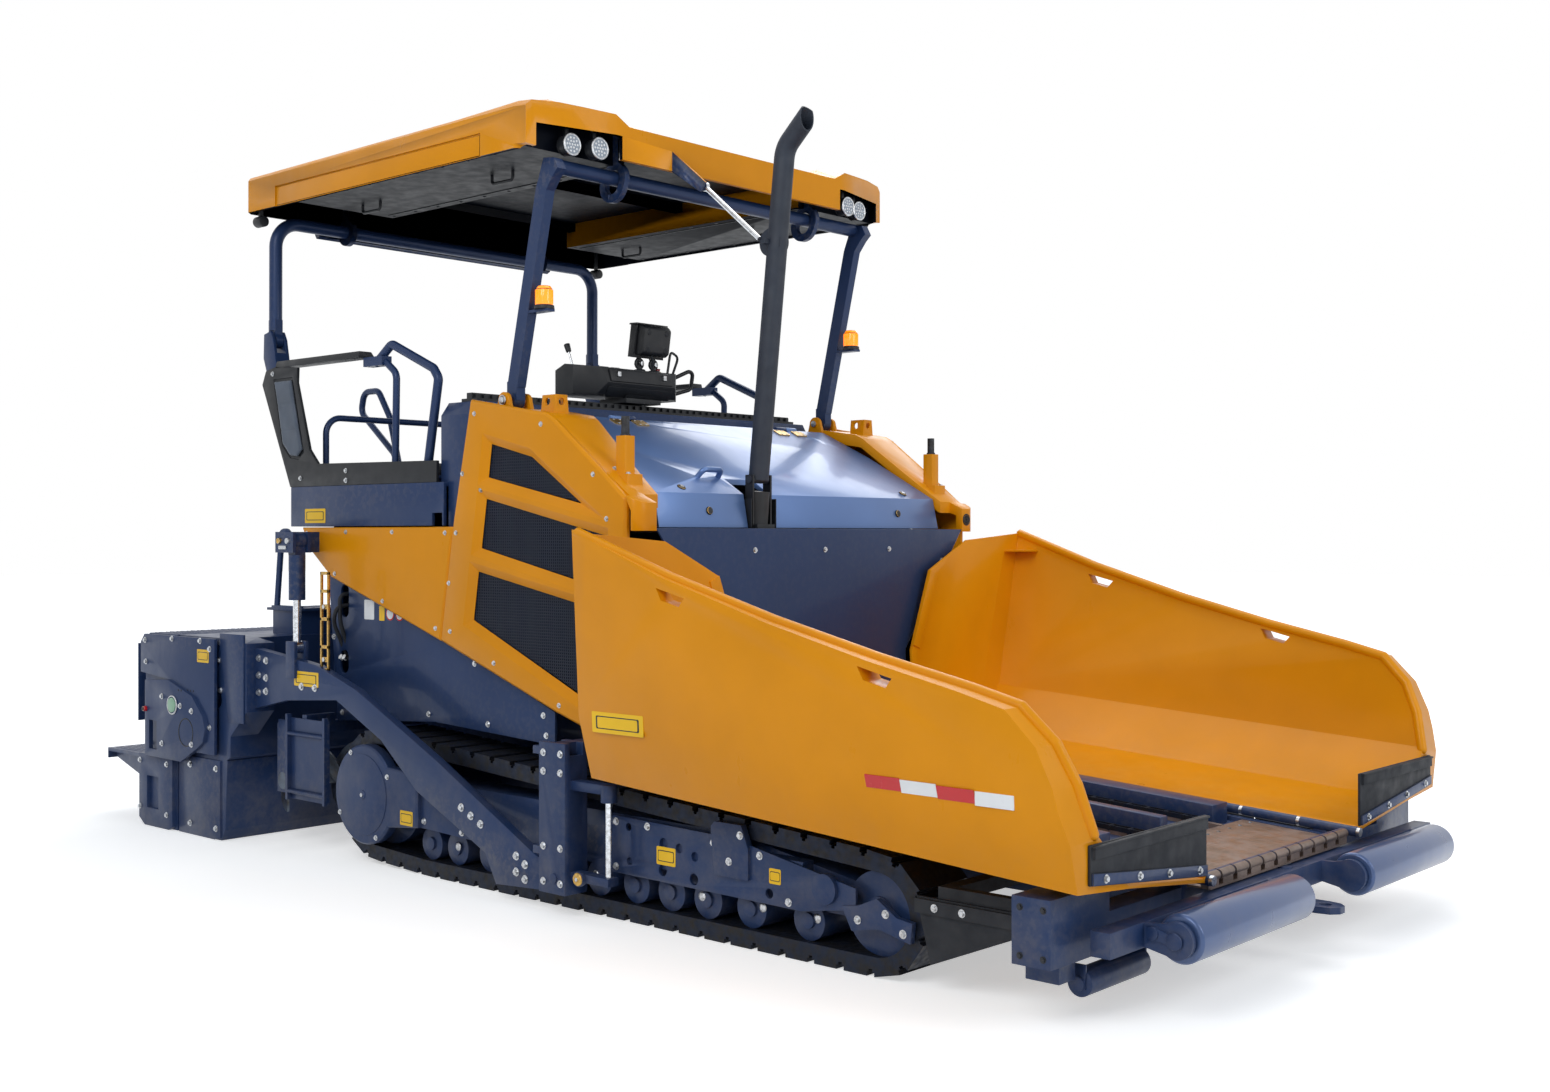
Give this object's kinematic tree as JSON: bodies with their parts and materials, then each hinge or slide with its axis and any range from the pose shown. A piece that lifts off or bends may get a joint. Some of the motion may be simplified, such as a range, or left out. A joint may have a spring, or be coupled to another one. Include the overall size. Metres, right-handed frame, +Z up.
{
  "type": "asphalt paver",
  "caption": "tracked road paver with tipping hopper wings, push rollers, twin slat conveyors, augers, folding canopy and a floating screed on two tow arms",
  "frame": {"origin": "on the ground below the middle of the overall box", "axes": "+X forward to the hopper, +Y left, +Z up"},
  "size_m": [6.8645, 3.2828, 3.65],
  "materials": {
    "yellow_paint": "gloss",
    "slate_paint": "satin",
    "slate_gloss": "gloss",
    "cast_metal": "matte",
    "worn_steel": "worn",
    "track_steel": "worn",
    "black_mesh": "matte",
    "black_plastic": "matte",
    "seat_vinyl": "matte",
    "black_rubber": "matte",
    "exhaust_grey": "matte",
    "bright_rod": "polished",
    "amber_lens": "gloss",
    "lamp_glass": "gloss"
  },
  "bodies": {
    "tractor": {"main_frame": "slate_paint", "engine_deck": "slate_paint", "engine": "cast_metal", "conveyors": "worn_steel", "conveyor_guards": "slate_paint", "track_right": "track_steel", "track_left": "track_steel", "track_frames": "slate_paint", "final_drives": "slate_paint", "side_panels": "yellow_paint", "side_grilles": "black_mesh", "rear_panels": "yellow_paint", "skirts": "slate_paint", "fenders": "yellow_paint", "back_wall": "slate_paint", "platform": "slate_paint", "dash_cabinet": "slate_paint", "console_rail": "black_plastic", "side_boards": "black_plastic", "seats": "seat_vinyl", "handrails": "slate_paint", "rear_posts": "slate_paint", "tow_guides": "slate_paint", "front_beam": "slate_paint", "hopper_sill": "worn_steel", "flaps": "black_rubber", "auger_carrier": "slate_paint", "lift_brackets": "slate_paint", "exhaust_socket": "black_plastic"},
    "wing_right_body": {"wing_right": "yellow_paint", "wing_lip_right": "black_rubber"},
    "wing_left_body": {"wing_left": "yellow_paint", "wing_lip_left": "black_rubber"},
    "hood_body": {"hood": "slate_gloss"},
    "exhaust_body": {"exhaust": "exhaust_grey"},
    "exhaust_strut_body": {"exhaust_strut": "bright_rod"},
    "rear_hoop_body": {"rear_hoop": "slate_paint"},
    "front_hoop_body": {"front_hoop": "slate_paint", "beacons": "amber_lens"},
    "canopy_body": {"canopy": "yellow_paint", "roof_lamps": "lamp_glass"},
    "console_body": {"console": "black_plastic"},
    "push_beam_body": {"push_beam": "slate_paint"},
    "push_roller_right_body": {"push_roller_right": "slate_paint"},
    "push_roller_left_body": {"push_roller_left": "slate_paint"},
    "screed_body": {"tow_arms": "slate_paint", "screed_box": "slate_paint"},
    "extension_right_body": {"extension_right": "slate_paint"},
    "extension_left_body": {"extension_left": "slate_paint"},
    "auger_right_body": {"auger_right": "worn_steel"},
    "auger_left_body": {"auger_left": "worn_steel"},
    "lift_barrel_right_body": {"lift_barrel_right": "slate_paint"},
    "lift_barrel_left_body": {"lift_barrel_left": "slate_paint"},
    "lift_rod_right_body": {"lift_rod_right": "bright_rod"},
    "lift_rod_left_body": {"lift_rod_left": "bright_rod"}
  },
  "joints": [
    {"name": "wing_right_fold", "type": "hinge", "parent": "tractor", "child": "wing_right_body", "pos_m": [3.188, -0.66, 0.4], "axis": [-0.9979, 0, 0.0649], "range_deg": [0, 53]},
    {"name": "wing_left_fold", "type": "hinge", "parent": "tractor", "child": "wing_left_body", "pos_m": [3.188, 0.66, 0.4], "axis": [0.9979, 0, -0.0649], "range_deg": [0, 53]},
    {"name": "hood_open", "type": "hinge", "parent": "tractor", "child": "hood_body", "pos_m": [0.071, 0, 2.197], "axis": [0, -1, 0], "range_deg": [0, 50]},
    {"name": "canopy_fold", "type": "hinge", "parent": "tractor", "child": "rear_hoop_body", "pos_m": [-2.108, 0, 2.7], "axis": [0, 1, 0], "range_deg": [0, 60]},
    {"name": "canopy_level", "type": "hinge", "parent": "rear_hoop_body", "child": "canopy_body", "pos_m": [-2.106, 0, 3.35], "axis": [0, -1, 0], "range_deg": [0, 61]},
    {"name": "front_hoop_fold", "type": "hinge", "parent": "tractor", "child": "front_hoop_body", "pos_m": [-0.102, 0, 2.26], "axis": [0, 1, 0], "range_deg": [0, 36]},
    {"name": "exhaust_fold", "type": "hinge", "parent": "tractor", "child": "exhaust_body", "pos_m": [0.752, -0.36, 1.89], "axis": [0, 1, 0], "range_deg": [0, 36]},
    {"name": "exhaust_strut_turn", "type": "hinge", "parent": "canopy_body", "child": "exhaust_strut_body", "pos_m": [0.488, -0.45, 3.29], "axis": [0, -1, 0], "range_deg": [0, 11]},
    {"name": "console_slide", "type": "slide", "parent": "tractor", "child": "console_body", "axis": [0, 1, 0], "range_m": [-0.7, 0.84]},
    {"name": "push_beam_swivel", "type": "hinge", "parent": "tractor", "child": "push_beam_body", "pos_m": [3.188, 0, 0.3], "axis": [0, 0, 1], "range_deg": [-2.5, 2.5]},
    {"name": "push_roller_right_spin", "type": "hinge", "parent": "push_beam_body", "child": "push_roller_right_body", "pos_m": [3.348, -0.7035, 0.294], "axis": [0, 1, 0], "continuous": true},
    {"name": "push_roller_left_spin", "type": "hinge", "parent": "push_beam_body", "child": "push_roller_left_body", "pos_m": [3.348, 0.7035, 0.294], "axis": [0, 1, 0], "continuous": true},
    {"name": "screed_lift", "type": "hinge", "parent": "tractor", "child": "screed_body", "pos_m": [0.6, 0, 0.17], "axis": [0, 1, 0], "range_deg": [0, 6]},
    {"name": "extension_right_slide", "type": "slide", "parent": "screed_body", "child": "extension_right_body", "axis": [0, -1, 0], "range_m": [0, 0.75]},
    {"name": "extension_left_slide", "type": "slide", "parent": "screed_body", "child": "extension_left_body", "axis": [0, 1, 0], "range_m": [0, 0.75]},
    {"name": "auger_right_spin", "type": "hinge", "parent": "tractor", "child": "auger_right_body", "pos_m": [-1.73, -0.7, 0.34], "axis": [0, 1, 0], "continuous": true},
    {"name": "auger_left_spin", "type": "hinge", "parent": "tractor", "child": "auger_left_body", "pos_m": [-1.73, 0.7, 0.34], "axis": [0, 1, 0], "continuous": true},
    {"name": "lift_barrel_right_turn", "type": "hinge", "parent": "tractor", "child": "lift_barrel_right_body", "pos_m": [-1.481, -1.42, 1.6], "axis": [0, -1, 0], "range_deg": [0, 18]},
    {"name": "lift_rod_right_slide", "type": "slide", "parent": "lift_barrel_right_body", "child": "lift_rod_right_body", "axis": [0, 0, 1], "range_m": [0, 0.2]},
    {"name": "lift_barrel_left_turn", "type": "hinge", "parent": "tractor", "child": "lift_barrel_left_body", "pos_m": [-1.481, 1.42, 1.6], "axis": [0, -1, 0], "range_deg": [0, 18]},
    {"name": "lift_rod_left_slide", "type": "slide", "parent": "lift_barrel_left_body", "child": "lift_rod_left_body", "axis": [0, 0, 1], "range_m": [0, 0.2]}
  ],
  "couplings": [
    {"joint": "canopy_level", "follows": "canopy_fold", "ratio": 1.0033},
    {"joint": "front_hoop_fold", "follows": "canopy_fold", "ratio": 0.56883},
    {"joint": "exhaust_fold", "follows": "canopy_fold", "ratio": 0.57717},
    {"joint": "exhaust_strut_turn", "follows": "canopy_fold", "ratio": 0.16267},
    {"joint": "lift_barrel_right_turn", "follows": "screed_lift", "ratio": 2.9033},
    {"joint": "lift_rod_right_slide", "follows": "screed_lift", "m_per_rad": 1.8783},
    {"joint": "lift_barrel_left_turn", "follows": "screed_lift", "ratio": 2.9033},
    {"joint": "lift_rod_left_slide", "follows": "screed_lift", "m_per_rad": 1.8783}
  ]
}
